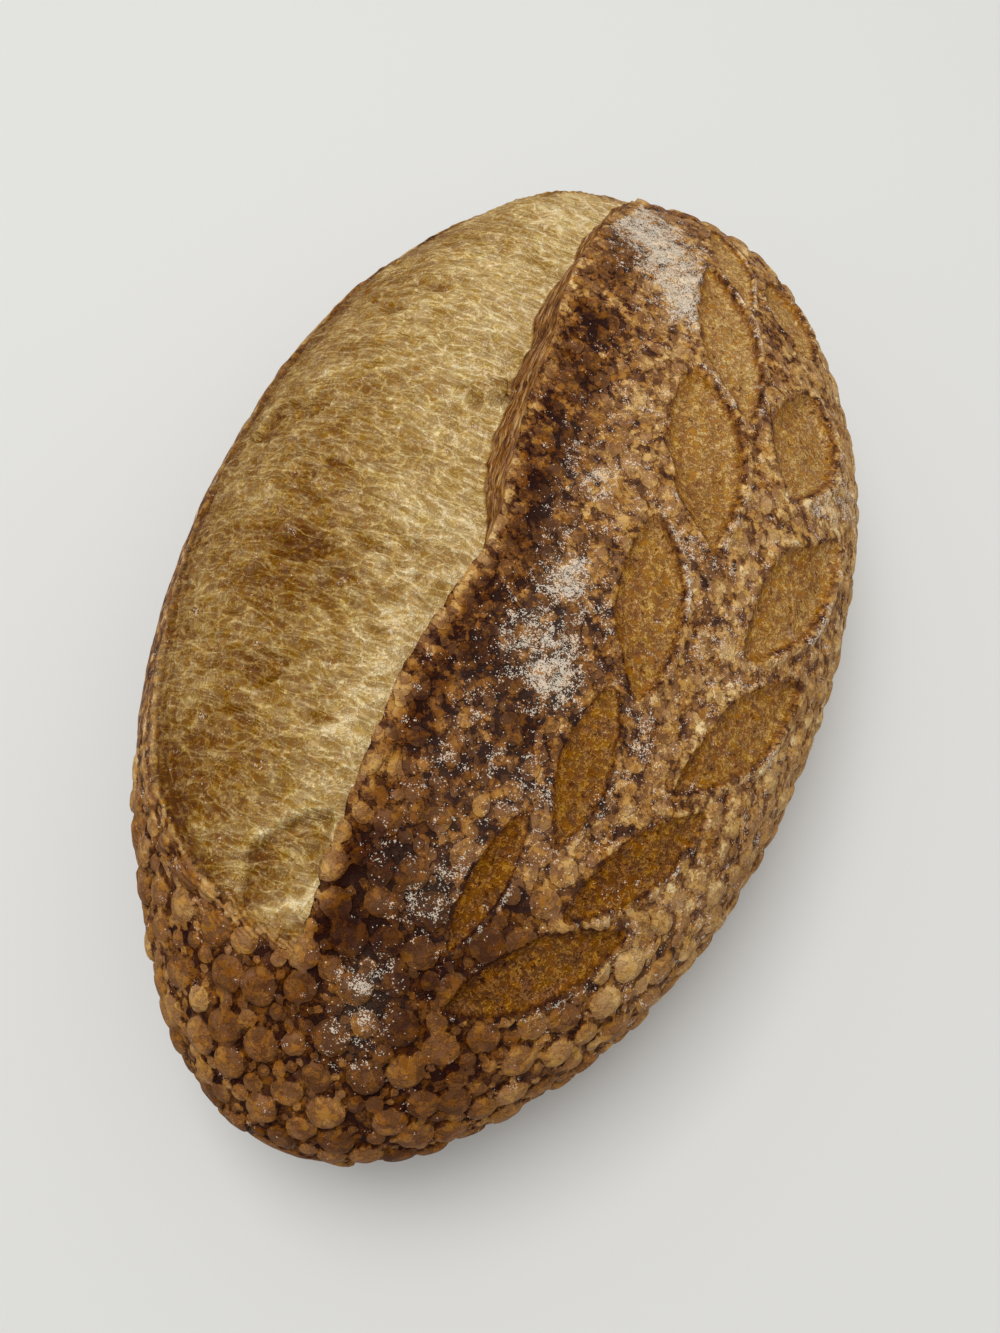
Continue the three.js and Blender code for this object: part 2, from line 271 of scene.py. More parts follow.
# One ring of the loaf: points in x and z, and how far each lies from the lip along the surface
def section(s, ragged):
    y = dough["halfLength"] * s
    full, side, top, bottom = levels(s)
    left, right = planWidth(s, "L"), planWidth(s, "R")
    lipX = float(np.clip(lipLine(y), -0.8 * left, 0.8 * right))
    gap = float(lipHeight(s))
    isOpen = min(1, gap / slash["open"])
    lipX += ragged[0] * isOpen
    run = (faceRun(y) + ragged[1]) * isOpen + min(slash["seam"], 0.04 * left) * (1 - isOpen)
    across, up = dough["shoulder"]
    lipSide = left if lipX < 0 else right
    lipAngle = math.pi / 2 - math.copysign(math.asin((abs(lipX) / lipSide) ** (1 / across)), lipX)

    def upper(angle):
        c = np.cos(angle)
        x = np.where(c < 0, left, right) * np.sign(c) * np.abs(c) ** across
        return x, side + (top - side) * np.abs(np.sin(angle)) ** up

    def bloomCurve(t):
        x, z = upper(math.pi + (lipAngle - math.pi) * t)
        away = lipX - x
        share = np.clip(away / (left + lipX), 0, 1)
        drop = gap / 2 * (1 - smooth(0, 0.6, share))
        bulge = slash["swell"] * full * np.sin(math.pi * share) * smooth(0, slash["open"], gap)
        return np.stack([x - run * np.exp(-away / foot["reach"]), z - drop + bulge], axis=1)

    def crustCurve(t):
        x, z = upper(lipAngle * (1 - t))
        return np.stack([x, z + gap / 2 * np.exp(-(x - lipX) / slash["curl"])], axis=1)

    def baseCurve(t):
        c = np.cos(math.pi * t)
        heelAcross, heelUp = dough["heel"]
        x = np.where(c < 0, left, right) * np.sign(c) * np.abs(c) ** heelAcross
        return np.stack([x, side - (side - bottom) * np.sqrt(np.maximum(1 - c ** 2, 0)) ** heelUp], axis=1)

    bloom, bloomReach = evenPoints(bloomCurve, mesh["bloom"])
    crust, crustReach = evenPoints(crustCurve, mesh["crust"])
    steps = np.arange(1, mesh["face"] + 1)[:, None] / (mesh["face"] + 1)
    face = bloom[-1] + (crust[0] - bloom[-1]) * steps
    base, _ = evenPoints(baseCurve, mesh["base"] + 2, bottom + 3.5)
    ring = np.concatenate([bloom, face, crust, base[1:-1]])
    away = np.concatenate([bloomReach[-1] - bloomReach, np.zeros(mesh["face"]), crustReach,
                           np.full(mesh["base"], 150.0)])
    return np.stack([ring[:, 0], np.full(len(ring), y), ring[:, 1]], axis=1), away


# How far inside an oval mark each point lies: 1 in its middle, 0 on its edge, negative outside
def insideOval(points, x, y, turn, length, width, wobble=0.0):
    def slope(dx, dy):
        rise = (domeHeight(x + dx, y + dy) - domeHeight(x - dx, y - dy)) / 2
        return Vector((dx, dy, rise)).normalized()
    upright = slope(1, 0).cross(slope(0, 1)).normalized()
    long = slope(math.cos(math.radians(turn)), math.sin(math.radians(turn)))
    wide = upright.cross(long)
    offset = points - np.array([x, y, domeHeight(x, y)])
    along = offset @ np.array(long) / (length / 2)
    across = offset @ np.array(wide) / (width / 2)
    inside = 1 - along ** 2 - np.abs(across) + wobble
    inside = np.where(np.abs(along) >= 1, -np.abs(along), inside)
    return np.where(np.abs(offset @ np.array(upright)) > 14, -9.0, inside), across


def shapeLoaf():
    stations = mesh["stations"]
    row = np.arange(stations + 1)
    even = 1 - 2 * row / stations
    shares = even + (np.cos(math.pi * row / stations) - even) * mesh["endCrowding"]
    along = np.stack([np.zeros(stations + 1), shares * dough["halfLength"], np.zeros(stations + 1)], axis=1)
    lipTear = 0.9 * unevenness(along, 13, 3) + 0.35 * unevenness(along, 3.1, 4)
    footTear = 1.0 * unevenness(along, 11, 5) + 0.3 * unevenness(along, 2.6, 6)
    rings, reaches = zip(*[section(s, (lipTear[i], footTear[i])) for i, s in enumerate(shares)])
    grid, away = np.array(rings), np.array(reaches)
    grid[0, :] = (0, dough["halfLength"], dough["noseHeight"])
    grid[-1, :] = (0, -dough["halfLength"], dough["noseHeight"])
    away[0], away[-1] = away[1], away[-2]
    zone = np.repeat([bloomZone, faceZone, crustZone, baseZone],
                     [mesh["bloom"], mesh["face"], mesh["crust"], mesh["base"]])
    return grid, away, np.tile(zone, (stations + 1, 1))


def outwardOf(grid):
    lengthways = np.zeros_like(grid)
    lengthways[1:-1] = grid[:-2] - grid[2:]
    crossways = np.roll(grid, -1, axis=1) - np.roll(grid, 1, axis=1)
    outward = np.cross(crossways, lengthways)
    size = np.linalg.norm(outward, axis=2, keepdims=True)
    return (outward / np.maximum(size, 1e-9)).reshape(-1, 3), size.ravel() / 4


# Leaf cuts: relief in mm, how far inside a cut each point lies, and 1 on the side where the lip stands up
def leafCuts(points, zone):
    relief, leaf, lipped = np.zeros(len(points)), np.full(len(points), -9.0), np.zeros(len(points))
    wobble = 0.1 * unevenness(points, 6, 61) + 0.05 * unevenness(points, 2, 62)
    for x, y, turn, length, width in leaves["inner"] + leaves["outer"]:
        inside, across = insideOval(points, x, y, turn, length, width, wobble)
        inside = np.where(zone == crustZone, inside, -9)
        lipSide = smooth(0.25, -0.25, across)
        depth = leaves["depth"] * width
        steep, gentle = smooth(-0.06, 0.2, inside), smooth(-0.1, 0.35, inside)
        relief += 0.1 * depth * smooth(0.25, 1.0, inside) - depth * (gentle + (steep - gentle) * lipSide)
        relief += leaves["lip"] * width * mound(inside + 0.14, 0.12) * (0.35 + 0.65 * lipSide)
        lipped = np.where(inside > leaf, lipSide, lipped)
        leaf = np.maximum(leaf, inside)
    return relief, leaf, lipped


# Depth of bake that each surface starts from, 0 for char and 1 for barely coloured
bakeLevels = {"crust": 0.64, "cut": 0.68, "crumb": 0.49, "face": 0.5, "under": 0.52}


# How brown each place baked before its fine mottle, with painted light and shade inside the leaf cuts
def browningAndCutShade(points, away, zone, leaf, lipped, past, torn, isOpen):
    x, y, z = points.T
    crust = bakeLevels["crust"] - 0.17 * smooth(30, -50, y) * smooth(60, 25, x)
    crust -= 0.15 * smooth(-60, -105, y)
    crust += 0.05 * unevenness(points, 24, 92) + 0.05 * unevenness(points, 9, 93) + 0.03 * smooth(60, 30, z)
    crust += 0.04 * smooth(-10, 50, y) + 0.04 * smooth(45, 62, x) * (1 + smooth(-40, 0, y))
    crust -= 0.07 * smooth(64, 48, x) * smooth(-60, -20, y) + 0.045 * smooth(45, 62, x)
    crust += (0.14 * smooth(-8, -25, x) * smooth(-50, -90, y)
              + 0.05 * mound(past, 7) * isOpen * (zone == bloomZone))
    beside = mound(away - 8, 9 + 10 * smooth(10, -60, y)) * (zone == crustZone) * smooth(-116, -92, y)
    beside *= (1 + 0.3 * smooth(0, 50, y) - 0.45 * smooth(60, 90, y)) * smooth(0.5, 5, away)
    crust -= 0.26 * beside * np.clip(0.85 + 0.7 * unevenness(points, 9, 91), 0, 1.3)
    crust += 0.16 * mound(away, 3) * isOpen * (zone == crustZone) * smooth(20, -5, y)
    cut = bakeLevels["cut"] - 0.08 * smooth(60, -10, y) - 0.2 * smooth(-10, -80, y)
    cut += 0.06 * unevenness(points, 8, 94)
    # Painted light and shade inside each cut: a lighter band on the lip side, and painted shade along the
    # inner edge of the other side, so the cut reads as a hollow
    cut += 0.07 * lipped * mound(leaf - 0.3, 0.2) - 0.06 * (1 - lipped) * smooth(0.3, 0.03, leaf)
    cut += 0.04 * smooth(0.5, 0.95, leaf)
    crust += 0.1 * mound(leaf + 0.2, 0.09) * (0.3 + 0.7 * lipped) * smooth(-60, -20, y)
    crumb = bakeLevels["crumb"] + 0.23 * smooth(48, 5, away) + 0.02 * smooth(-20, 60, y)
    crumb -= 0.16 * smooth(-9, 0, past)
    crumb -= (0.08 * smooth(20, -25, y) * smooth(10, 22, away) * smooth(60, 40, away)
              + 0.04 * smooth(-50, -75, y))
    crumb -= 0.16 * smooth(64, 52, z) * smooth(-10, 30, y)
    stretched = np.stack([away / 2, y, z * 0], axis=1)
    crumb += 0.06 * unevenness(stretched, 11, 98) + 0.03 * unevenness(stretched, 5, 99) - 0.13 * torn
    crumb += 0.04 * mound(away - 8, 7) * smooth(30, -10, y)
    face = bakeLevels["face"] + 0.06 * unevenness(points, 9, 89)
    under = bakeLevels["under"] + 0.06 * unevenness(points, 20, 88)
    bakeAndShade = crust + (cut - crust) * smooth(-0.02, 0.03, leaf)
    bakeAndShade = np.where(zone == bloomZone, crumb * isOpen + crust * (1 - isOpen), bakeAndShade)
    bakeAndShade = np.where((zone == bloomZone) & (past > 0), crust, bakeAndShade)
    bakeAndShade = np.where(zone == faceZone, face * isOpen + crust * (1 - isOpen), bakeAndShade)
    return bakeAndShade + (under - bakeAndShade) * smooth(8, 2, z)


# Everything the baker and the oven did to the surface, plus painted light and shade in the leaf cuts:
# relief in mm and what each place looks like
def bakeSurface(points, away, zone, area):
    x, y, z = points.T
    s = np.clip(y / dough["halfLength"], -1, 1)
    lift = smooth(2.5, 12, z) * smooth(0, 0.03, 1 - np.abs(s))
    isOpen = smooth(0, slash["open"], lipHeight(s))
    swell = dough["unevenness"] * np.sin((x + 0.6 * z) / 17 + 1.3) * np.sin((y - 0.4 * x) / 23 + 0.4)
    wander = np.stack([unevenness(points, 4.5, 21 + i) for i in range(3)], axis=1)

    past = -x - rimShare(y) * planWidth(s, "L")
    pastTorn = past + 1.6 * unevenness(points, 9, 11) + 0.8 * unevenness(points, 3, 12)
    onTop = smooth(dough["widestHeight"] - 4, dough["widestHeight"] + 4, z)
    bloom = np.where(zone == bloomZone, smooth(2.5, -2.5, pastTorn) * isOpen * onTop, 0)
    face = np.where(zone == faceZone, isOpen, 0)
    crusty = np.clip(1 - bloom - face, 0, 1)
    cuts, leaf, lipped = leafCuts(points, zone)
    notLeaf = smooth(0.02, -0.12, leaf)

    nearEnd = smooth(-50, -95, y)
    lowSide = 0.7 * smooth(70, 52, z)
    farEnd = smooth(105, 135, y)
    rough = np.maximum(np.maximum(nearEnd, lowSide), 0.6 * farEnd) + 0.25 * unevenness(points, 16, 97)
    rough = np.clip(rough, 0, 1)
    leftSide = np.where((x < 0) & (zone != crustZone), smooth(-88, -64, y) * smooth(10, 45, z), 0)
    allowed = crusty * notLeaf * smooth(2, 10, z) * (1 - leftSide)
    height, inside, tone = packBlisters(points, area, rough, allowed, wander)
    height *= allowed
    blister = np.where(allowed > 0.4, inside, -1)

    pockets, hollowed, edged = np.zeros(len(points)), np.zeros(len(points)), np.zeros(len(points))
    for hx, hy, turn, length, width, depth in hollows:
        hollow, _ = insideOval(points, hx, hy, turn, length, width, 0.2 * unevenness(points, 5, 63))
        pockets = np.maximum(pockets, smooth(-0.05, 0.15, hollow) * depth - 0.5 * mound(hollow + 0.08, 0.1))
        hollowed = np.maximum(hollowed, smooth(-0.05, 0.2, hollow) * (0.3 + 0.3 * depth))
        edged = np.maximum(edged, mound(hollow + 0.1, 0.09))
    ragged = 0.15 * unevenness(points, 3, 64)
    torn, _ = insideOval(points, shred["x"], shred["y"], shred["turn"], shred["length"], shred["width"],
                         ragged)
    torn = smooth(-0.05, 0.15, torn) * (zone == bloomZone)
    flow = np.stack([away / 2.0, y, z * 0], axis=1)
    pit, wall = burstBubbles(flow + 0.9 * wander, 5.0, 71, 0.45)
    smallPit, smallWall = burstBubbles(flow + 0.6 * wander, 2.6, 73, 0.5)
    pit, wall = np.maximum(pit, 0.5 * smallPit), np.maximum(wall, 0.5 * smallWall)
    wall = np.maximum(wall * (1 - hollowed), 1.5 * edged)
    strands = unevenness(flow * (0.5, 1, 1) + 0.4 * wander, 1.5, 75)
    sheets = unevenness(flow + 2 * wander, 8, 77)
    openCrumb = 0.35 * wall - 0.75 * pit + 0.2 * strands + 0.6 * sheets - pockets + shred["height"] * torn
    lipRise = rim["rise"] * np.exp(-np.maximum(past, 0) / rim["reach"])
    lipRise = lipRise * isOpen * (zone == bloomZone) * (past > -1)
    pleats = rim["pleatHeight"] * np.sin(pastTorn * 2 * math.pi / rim["pleatWidth"]) * mound(past + 2, 6)
    pleats = pleats * isOpen * (zone == bloomZone)
    grain = 0.1 * unevenness(points, 1.6, 81) + 0.35 * unevenness(points, 5.5, 82)

    relief = crusty * (height + (lipRise + grain) * notLeaf) + pleats + bloom * openCrumb
    relief = lift * (swell + relief + np.where(zone == crustZone, cuts, 0))
    relief += lift * face * 0.35 * (unevenness(points, 2.2, 85) + unevenness(points * (1, 0.3, 1), 1.2, 86))

    flour = sum(power * mound(np.hypot(x - fx, y - fy), size) for fx, fy, size, power in flourPatches)
    leafRidge = mound(leaf + 0.16, 0.08) * (0.3 + 0.7 * lipped)
    leafRidge = leafRidge * np.clip(0.6 + unevenness(points, 12, 95), 0, 1)
    general = (0.17 + 0.15 * unevenness(points, 14, 96)) * smooth(-112, -80, y)
    general *= 1 - 0.6 * smooth(10, 50, y)
    flour = np.maximum(np.maximum(flour, 0.8 * leafRidge), general)
    clear = 4 - 3 * smooth(60, 90, y)
    held = np.where(zone == crustZone, notLeaf, 0.5 * crusty * (zone == bloomZone))
    flour *= held * smooth(clear, 3.5 * clear, away)
    flour *= smooth(30, 55, z)
    flour = np.maximum(flour, 0.25 * smooth(6, 2, z))
    bakedAndShaded = browningAndCutShade(points, away, zone, leaf, lipped, past, torn, isOpen) - (0.07 + 0.11 * rough) * allowed
    looks = {
        "bloom": bloom, "earFace": face, "leaf": leaf, "lipped": lipped, "blister": blister, "tone": tone,
        "rough": rough, "bakeAndShade": bakedAndShaded, "flour": np.clip(flour, 0, 1),
        "rimPast": np.where((zone == bloomZone) & (isOpen > 0.2), pastTorn, 60),
        "away": away, "pit": np.maximum(pit, hollowed), "wall": wall,
    }
    return relief, looks, flow


def makeLoaf():
    grid, away, zone = shapeLoaf()
    rows, around = away.shape
    outward, area = outwardOf(grid)
    points = grid.reshape(-1, 3)
    relief, looks, flow = bakeSurface(points, away.ravel(), zone.ravel(), area)
    relief[:around] = relief[-around:] = 0
    relief[zone.ravel() == baseZone] *= mesh["baseRelief"]
    raised = (points + outward * relief[:, None]) - (0, 0, dough["settle"])
    raised[:, 2] = np.maximum(raised[:, 2], 0)
    low, high = raised.min(axis=0), raised.max(axis=0)
    cadLow, cadHigh = np.array(cadBox[0]) / mm, np.array(cadBox[1]) / mm
    raised = cadLow + (raised - low) * (cadHigh - cadLow) / (high - low)
    print("loaf shaped:", rows, "stations of", around, "points")

    bpy.ops.object.select_all(action="DESELECT")
    bpy.ops.mesh.primitive_uv_sphere_add(segments=around, ring_count=rows - 1, radius=1)
    loaf = bpy.context.object
    loaf.name = loaf.data.name = "bakedLoaf"
    ball = np.empty(len(loaf.data.vertices) * 3)
    loaf.data.vertices.foreach_get("co", ball)
    ball = ball.reshape(-1, 3)
    row = np.rint(np.arccos(np.clip(ball[:, 2], -1, 1)) / math.pi * (rows - 1)).astype(int)
    column = np.rint(np.arctan2(ball[:, 1], ball[:, 0]) / (2 * math.pi) * around).astype(int) % around
    pick = row * around + column
    loaf.data.vertices.foreach_set("co", (raised[pick] * mm).ravel())
    for name, values in looks.items():
        layer = loaf.data.attributes.new(name, "FLOAT", "POINT")
        layer.data.foreach_set("value", values[pick].astype(np.float32))
    layer = loaf.data.attributes.new("flow", "FLOAT_VECTOR", "POINT")
    layer.data.foreach_set("vector", flow[pick].astype(np.float32).ravel())
    bpy.ops.object.mode_set(mode="EDIT")
    bpy.ops.mesh.select_all(action="SELECT")
    bpy.ops.mesh.normals_make_consistent(inside=False)
    bpy.ops.object.mode_set(mode="OBJECT")
    bpy.ops.object.shade_smooth()
    return loaf


def linear(colour):
    parts = [int(colour[i:i + 2], 16) / 255 for i in (1, 3, 5)]
    return [c / 12.92 if c <= 0.04045 else ((c + 0.055) / 1.055) ** 2.4 for c in parts] + [1.0]


# Adds one shader node: its own settings, its sockets' values, and what feeds them
def add(tree, kind, values=None, feeds=None, **settings):
    made = tree.nodes.new(kind)
    for name, value in settings.items():
        setattr(made, name, value)
    for socket, value in (values or {}).items():
        made.inputs[socket].default_value = value
    for socket, source in (feeds or {}).items():
        tree.links.new(source, made.inputs[socket])
    return made


# Browning scales from char to barely coloured. Open crumb is yellower than crust at the same depth of bake.
crustLook = {
    "crust": [(0.02, "#260b03"), (0.15, "#43200a"), (0.3, "#5c3717"), (0.45, "#7b4f28"), (0.6, "#9a6c3b"),
              (0.75, "#b58b54"), (0.88, "#cba670"), (1.0, "#e2c99a")],
    "crumb": [(0.2, "#562f0d"), (0.35, "#724918"), (0.5, "#8f6a34"), (0.62, "#a4824b"), (0.74, "#ba9b62"),
              (0.86, "#cfb37a"), (1.0, "#ead4a4")],
    "flour": "#e4d6c0",
    "roughness": 0.6,
    "refraction": 1.45,
    "gloss": 0.08,
    "flourCover": 0.7,
}
# Widths in mm of what the patterns draw
patternWidths = {
    "flake": 2.9,
    "tear": 1.6,
    "tearReach": 3.6,
    "cloud": 2.8,
    "curl": 1.9,
    "bend": 6,
    "stain": 7,
    "crinkle": 2,
    "strand": 1.5,
    "bubble": 3.4,
    "fibre": 1.2,
    "sugar": 2.8,
    "drift": 4,
    "flourGrain": 0.26,
}


def setRamp(ramp, stops):
    marks = ramp.color_ramp.elements
    while len(marks) < len(stops):
        marks.new(0.5)
    for mark, (position, colour) in zip(marks, stops):
        mark.position = position
        mark.color = linear(colour)


# Baked wheat crust: dry and matt, browned unevenly, with golden blisters, pale open crumb and loose flour
def bakedCrust():
    material = bpy.data.materials.new("baked sourdough crust")
    material.use_nodes = True
    tree = material.node_tree
    shader = tree.nodes["Principled BSDF"]
    place = add(tree, "ShaderNodeTexCoord").outputs["Object"]
    names = ("bloom", "earFace", "leaf", "lipped", "blister", "tone", "rough", "bakeAndShade", "flour", "rimPast",
             "away",
             "pit", "wall")
    part = {name: add(tree, "ShaderNodeAttribute", attribute_name=name).outputs["Fac"] for name in names}
    flow = add(tree, "ShaderNodeAttribute", attribute_name="flow").outputs["Vector"]

    # Crust mottle: flakes with torn outlines, darker where they meet, over a finer uneven browning
    tear = add(tree, "ShaderNodeTexNoise",
               {"Scale": 1000 / patternWidths["tear"], "Detail": 2, "Roughness": 0.6}, {"Vector": place})
    tear = add(tree, "ShaderNodeVectorMath", {1: (0.5, 0.5, 0.5)}, {0: tear.outputs["Color"]},
               operation="SUBTRACT")
    tearReach = patternWidths["tearReach"] * mm
    tear = add(tree, "ShaderNodeVectorMath", {1: (tearReach,) * 3}, {0: tear.outputs[0], 2: place},
               operation="MULTIPLY_ADD")
    flake = add(tree, "ShaderNodeTexVoronoi", {"Scale": 1000 / patternWidths["flake"]},
                {"Vector": tear.outputs[0]})
    flakeTone = add(tree, "ShaderNodeSeparateColor", {}, {"Color": flake.outputs["Color"]})
    gap = add(tree, "ShaderNodeMapRange",
              {"From Min": 0.45, "From Max": 0.65, "To Min": 0.02, "To Max": -0.13},
              {"Value": flake.outputs["Distance"]})
    cloud = add(tree, "ShaderNodeTexNoise",
                {"Scale": 1000 / patternWidths["cloud"], "Detail": 4, "Roughness": 0.72}, {"Vector": place})
    island = add(tree, "ShaderNodeMapRange",
                 {"From Min": 0.48, "From Max": 0.52, "To Min": -0.08, "To Max": 0.08},
                 {"Value": cloud.outputs["Fac"]})
    mottle = add(tree, "ShaderNodeMath", {1: 0.36, 2: -0.16}, {0: flakeTone.outputs[0]},
                 operation="MULTIPLY_ADD")
    mottle = add(tree, "ShaderNodeMath", {}, {0: mottle.outputs[0], 1: gap.outputs[0]}, operation="ADD")
    mottle = add(tree, "ShaderNodeMath", {}, {0: mottle.outputs[0], 1: island.outputs[0]}, operation="ADD")
    mottle = add(tree, "ShaderNodeMath", {1: 0.7}, {0: cloud.outputs["Fac"], 2: mottle.outputs[0]},
                 operation="MULTIPLY_ADD")
    mottle = add(tree, "ShaderNodeMath", {1: 0.35}, {0: mottle.outputs[0]}, operation="SUBTRACT")

    # Blisters keep a more even gold, each its own, and stand out most where the crust is roughest
    rag = add(tree, "ShaderNodeMath", {1: 0.25}, {0: cloud.outputs["Fac"], 2: part["blister"]},
              operation="MULTIPLY_ADD")
    dome = add(tree, "ShaderNodeMapRange", {"From Min": 0.11, "From Max": 0.18}, {"Value": rag.outputs[0]})
    own = add(tree, "ShaderNodeMapRange", {"To Min": 0.15, "To Max": 0.42}, {"Value": part["tone"]})
    strong = add(tree, "ShaderNodeMapRange", {"To Min": 0.4, "To Max": 1.0}, {"Value": part["rough"]})
    own = add(tree, "ShaderNodeMath", {}, {0: own.outputs[0], 1: strong.outputs[0]}, operation="MULTIPLY")
    own = add(tree, "ShaderNodeMath", {}, {0: own.outputs[0], 1: dome.outputs[0]}, operation="MULTIPLY")
    calm = add(tree, "ShaderNodeMapRange", {"To Min": 1.2, "To Max": 0.75}, {"Value": part["rough"]})
    calmTop = add(tree, "ShaderNodeMapRange", {"To Min": 1.0, "To Max": 0.5}, {"Value": dome.outputs[0]})
    calm = add(tree, "ShaderNodeMath", {}, {0: calm.outputs[0], 1: calmTop.outputs[0]},
               operation="MULTIPLY")
    crustLevel = add(tree, "ShaderNodeMath", {},
                     {0: mottle.outputs[0], 1: calm.outputs[0], 2: own.outputs[0]},
                     operation="MULTIPLY_ADD")
    rimWave = add(tree, "ShaderNodeMath", {1: 2 * math.pi / rim["pleatWidth"]}, {0: part["rimPast"]},
                  operation="MULTIPLY")
    rimWave = add(tree, "ShaderNodeMath", {}, {0: rimWave.outputs[0]}, operation="SINE")
    outer = add(tree, "ShaderNodeMapRange",
                {"From Min": 2.0, "From Max": 18.0, "To Min": 0.09, "To Max": 0.0},
                {"Value": part["rimPast"]})
    crustLevel = add(tree, "ShaderNodeMath", {},
                     {0: rimWave.outputs[0], 1: outer.outputs[0], 2: crustLevel.outputs[0]},
                     operation="MULTIPLY_ADD")

    # Leaf cuts: fine curly golden fibres, a few pinholes and a dark line round the cut, partly a browner
    # edge and partly painted shade in the groove
    curl = add(tree, "ShaderNodeTexNoise",
               {"Scale": 1000 / patternWidths["curl"], "Detail": 2, "Roughness": 0.6},
               {"Vector": tear.outputs[0]})
    curlLine = add(tree, "ShaderNodeMath", {1: 0.5}, {0: curl.outputs["Fac"]}, operation="SUBTRACT")
    curlLine = add(tree, "ShaderNodeMath", {}, {0: curlLine.outputs[0]}, operation="ABSOLUTE")
    curlLine = add(tree, "ShaderNodeMapRange",
                   {"From Min": 0.0, "From Max": 0.1, "To Min": 0.2, "To Max": -0.1},
                   {"Value": curlLine.outputs[0]})
    hole = add(tree, "ShaderNodeMapRange",
               {"From Min": 0.1, "From Max": 0.22, "To Min": -0.2, "To Max": 0.0},
               {"Value": flake.outputs["Distance"]})
    leafLevel = add(tree, "ShaderNodeMath", {1: 0.8, 2: -0.4}, {0: cloud.outputs["Fac"]},
                    operation="MULTIPLY_ADD")
    leafLevel = add(tree, "ShaderNodeMath", {}, {0: leafLevel.outputs[0], 1: curlLine.outputs[0]},
                    operation="ADD")
    leafLevel = add(tree, "ShaderNodeMath", {}, {0: leafLevel.outputs[0], 1: hole.outputs[0]},
                    operation="ADD")
    # Dark line round each cut, stronger under the lip: partly a browner cut edge, partly painted shade in
    # the groove
    cutLineAndShade = add(tree, "ShaderNodeMath", {}, {0: part["leaf"]}, operation="ABSOLUTE")
    cutLineAndShade = add(tree, "ShaderNodeMapRange",
                  {"From Min": 0.0, "From Max": 0.12, "To Min": -0.2, "To Max": 0.0},
                  {"Value": cutLineAndShade.outputs[0]})
    underLip = add(tree, "ShaderNodeMapRange", {"To Min": 0.5, "To Max": 1.0}, {"Value": part["lipped"]})
    cutLineAndShade = add(tree, "ShaderNodeMath", {}, {0: cutLineAndShade.outputs[0], 1: underLip.outputs[0]},
                  operation="MULTIPLY")

    # Open crumb: toasted stains, crinkles and pale strands drawn from the ear, and walls of burst bubbles
    bend = add(tree, "ShaderNodeTexNoise", {"Scale": 1 / patternWidths["bend"], "Detail": 2},
               {"Vector": flow})
    bend = add(tree, "ShaderNodeVectorMath", {1: (0.5, 0.5, 0.5)}, {0: bend.outputs["Color"]},
               operation="SUBTRACT")
    bend = add(tree, "ShaderNodeVectorMath", {1: (4.0, 6.0, 0.0)}, {0: bend.outputs[0], 2: flow},
               operation="MULTIPLY_ADD")
    stain = add(tree, "ShaderNodeTexNoise",
                {"Scale": 1 / patternWidths["stain"], "Detail": 5, "Roughness": 0.72},
                {"Vector": bend.outputs[0]})
    crumbLevel = add(tree, "ShaderNodeMath", {1: 0.55, 2: -0.275}, {0: stain.outputs["Fac"]},
                     operation="MULTIPLY_ADD")
    drawn = add(tree, "ShaderNodeMapping", {"Scale": (0.35, 1.0, 1.0)}, {"Vector": bend.outputs[0]})
    crinkle = (drawn.outputs[0], 1 / patternWidths["crinkle"], 0.08, 0.12)
    paleStrand = (tear.outputs[0], 1000 / patternWidths["strand"], 0.1, 0.17)
    for vector, scale, thin, strength in (crinkle, paleStrand):
        strand = add(tree, "ShaderNodeTexNoise", {"Scale": scale, "Detail": 1}, {"Vector": vector})
        strand = add(tree, "ShaderNodeMath", {1: 0.5}, {0: strand.outputs["Fac"]}, operation="SUBTRACT")
        strand = add(tree, "ShaderNodeMath", {}, {0: strand.outputs[0]}, operation="ABSOLUTE")
        strand = add(tree, "ShaderNodeMapRange",
                     {"From Min": 0.0, "From Max": thin, "To Min": strength, "To Max": -0.05},
                     {"Value": strand.outputs[0]})
        crumbLevel = add(tree, "ShaderNodeMath", {}, {0: crumbLevel.outputs[0], 1: strand.outputs[0]},
                         operation="ADD")
    crumbBump = crumbLevel
    honey = add(tree, "ShaderNodeTexVoronoi", {"Scale": 1 / patternWidths["bubble"]},
                {"Vector": bend.outputs[0]}, feature="DISTANCE_TO_EDGE")
    honey = add(tree, "ShaderNodeMapRange",
                {"From Min": 0.01, "From Max": 0.075, "To Min": 0.14, "To Max": -0.025},
                {"Value": honey.outputs["Distance"]})
    nearEar = add(tree, "ShaderNodeMapRange",
                  {"From Min": 12.0, "From Max": 45.0, "To Min": 1.0, "To Max": 0.7},
                  {"Value": part["away"]})
    crumbLevel = add(tree, "ShaderNodeMath", {},
                     {0: honey.outputs[0], 1: nearEar.outputs[0], 2: crumbLevel.outputs[0]},
                     operation="MULTIPLY_ADD")
    crumbLevel = add(tree, "ShaderNodeMath", {1: -0.14}, {0: part["pit"], 2: crumbLevel.outputs[0]},
                     operation="MULTIPLY_ADD")
    crumbLevel = add(tree, "ShaderNodeMath", {1: 0.11}, {0: part["wall"], 2: crumbLevel.outputs[0]},
                     operation="MULTIPLY_ADD")
    inner = add(tree, "ShaderNodeMapRange",
                {"From Min": -11.0, "From Max": -1.0, "To Min": 0.0, "To Max": 0.05},
                {"Value": part["rimPast"]})
    crumbLevel = add(tree, "ShaderNodeMath", {},
                     {0: rimWave.outputs[0], 1: inner.outputs[0], 2: crumbLevel.outputs[0]},
                     operation="MULTIPLY_ADD")

    # Cut face under the lip: fibres drawn out along the slash
    along = add(tree, "ShaderNodeMapping", {"Scale": (1.0, 0.16, 1.0)}, {"Vector": place})
    along = add(tree, "ShaderNodeTexNoise",
                {"Scale": 1000 / patternWidths["fibre"], "Detail": 3, "Roughness": 0.7},
                {"Vector": along.outputs[0]})
    faceLevel = add(tree, "ShaderNodeMath", {1: 2.0, 2: -1.0}, {0: along.outputs["Fac"]},
                    operation="MULTIPLY_ADD")
